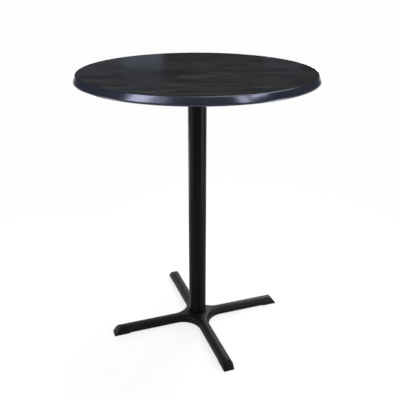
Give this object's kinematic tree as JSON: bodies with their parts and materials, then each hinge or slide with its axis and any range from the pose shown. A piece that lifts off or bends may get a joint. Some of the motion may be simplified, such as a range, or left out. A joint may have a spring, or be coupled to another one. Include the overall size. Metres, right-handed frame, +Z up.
{
  "type": "outdoor bar table",
  "caption": "Round bar-height table: laminated top with a moulded leaning edge on a round column, clamped by a tie rod to an arched cross base with screw levellers.",
  "frame": {"origin": "on the floor under the column's axis", "axes": "+Z up along the column, base arms along X and Y, -Y is the front"},
  "size_m": [0.9143, 0.9144, 1.1],
  "materials": {
    "core_board": "raw moulded wood fibre",
    "decor_laminate": "satin charcoal with faint streaked grain",
    "balancing_laminate": "plain black",
    "edge_moulding": "glossy blue-black",
    "plated_steel": "zinc plated",
    "black_iron": "satin black powder coat",
    "black_steel": "satin black powder coat",
    "black_nylon": "moulded black nylon"
  },
  "bodies": {
    "table": {"top_core": "core_board", "top_sheet": "decor_laminate", "underside_sheet": "balancing_laminate", "edge_band": "edge_moulding", "threaded_inserts": "plated_steel", "spider": "black_iron", "spider_screws": "plated_steel", "spider_washers": "plated_steel", "column": "black_steel", "tie_rod": "plated_steel", "tie_rod_top_washer": "plated_steel", "tie_rod_top_nut": "plated_steel", "tie_rod_bottom_washer": "plated_steel", "tie_rod_lock_washer": "plated_steel", "tie_rod_bottom_nut": "plated_steel", "base_casting": "black_iron"},
    "front_foot": {"front_leveler_foot": "black_nylon"},
    "front_stud": {"front_leveler_stud": "plated_steel"},
    "right_foot": {"right_leveler_foot": "black_nylon"},
    "right_stud": {"right_leveler_stud": "plated_steel"},
    "back_foot": {"back_leveler_foot": "black_nylon"},
    "back_stud": {"back_leveler_stud": "plated_steel"},
    "left_foot": {"left_leveler_foot": "black_nylon"},
    "left_stud": {"left_leveler_stud": "plated_steel"}
  },
  "joints": [
    {"name": "front_foot_slide", "type": "slide", "parent": "table", "child": "front_foot", "axis": [0, 0, -1], "range_m": [0, 0.01]},
    {"name": "front_stud_turn", "type": "hinge", "parent": "front_foot", "child": "front_stud", "pos_m": [0, -0.345, 0.01], "axis": [0, 0, -1], "range_deg": [0, 2880]},
    {"name": "right_foot_slide", "type": "slide", "parent": "table", "child": "right_foot", "axis": [0, 0, -1], "range_m": [0, 0.01]},
    {"name": "right_stud_turn", "type": "hinge", "parent": "right_foot", "child": "right_stud", "pos_m": [0.345, 0, 0.01], "axis": [0, 0, -1], "range_deg": [0, 2880]},
    {"name": "back_foot_slide", "type": "slide", "parent": "table", "child": "back_foot", "axis": [0, 0, -1], "range_m": [0, 0.01]},
    {"name": "back_stud_turn", "type": "hinge", "parent": "back_foot", "child": "back_stud", "pos_m": [0, 0.345, 0.01], "axis": [0, 0, -1], "range_deg": [0, 2880]},
    {"name": "left_foot_slide", "type": "slide", "parent": "table", "child": "left_foot", "axis": [0, 0, -1], "range_m": [0, 0.01]},
    {"name": "left_stud_turn", "type": "hinge", "parent": "left_foot", "child": "left_stud", "pos_m": [-0.345, 0, 0.01], "axis": [0, 0, -1], "range_deg": [0, 2880]}
  ],
  "couplings": [
    {"joint": "front_foot_slide", "follows": "front_stud_turn", "m_per_rad": 0.00019894},
    {"joint": "right_foot_slide", "follows": "right_stud_turn", "m_per_rad": 0.00019894},
    {"joint": "back_foot_slide", "follows": "back_stud_turn", "m_per_rad": 0.00019894},
    {"joint": "left_foot_slide", "follows": "left_stud_turn", "m_per_rad": 0.00019894}
  ]
}
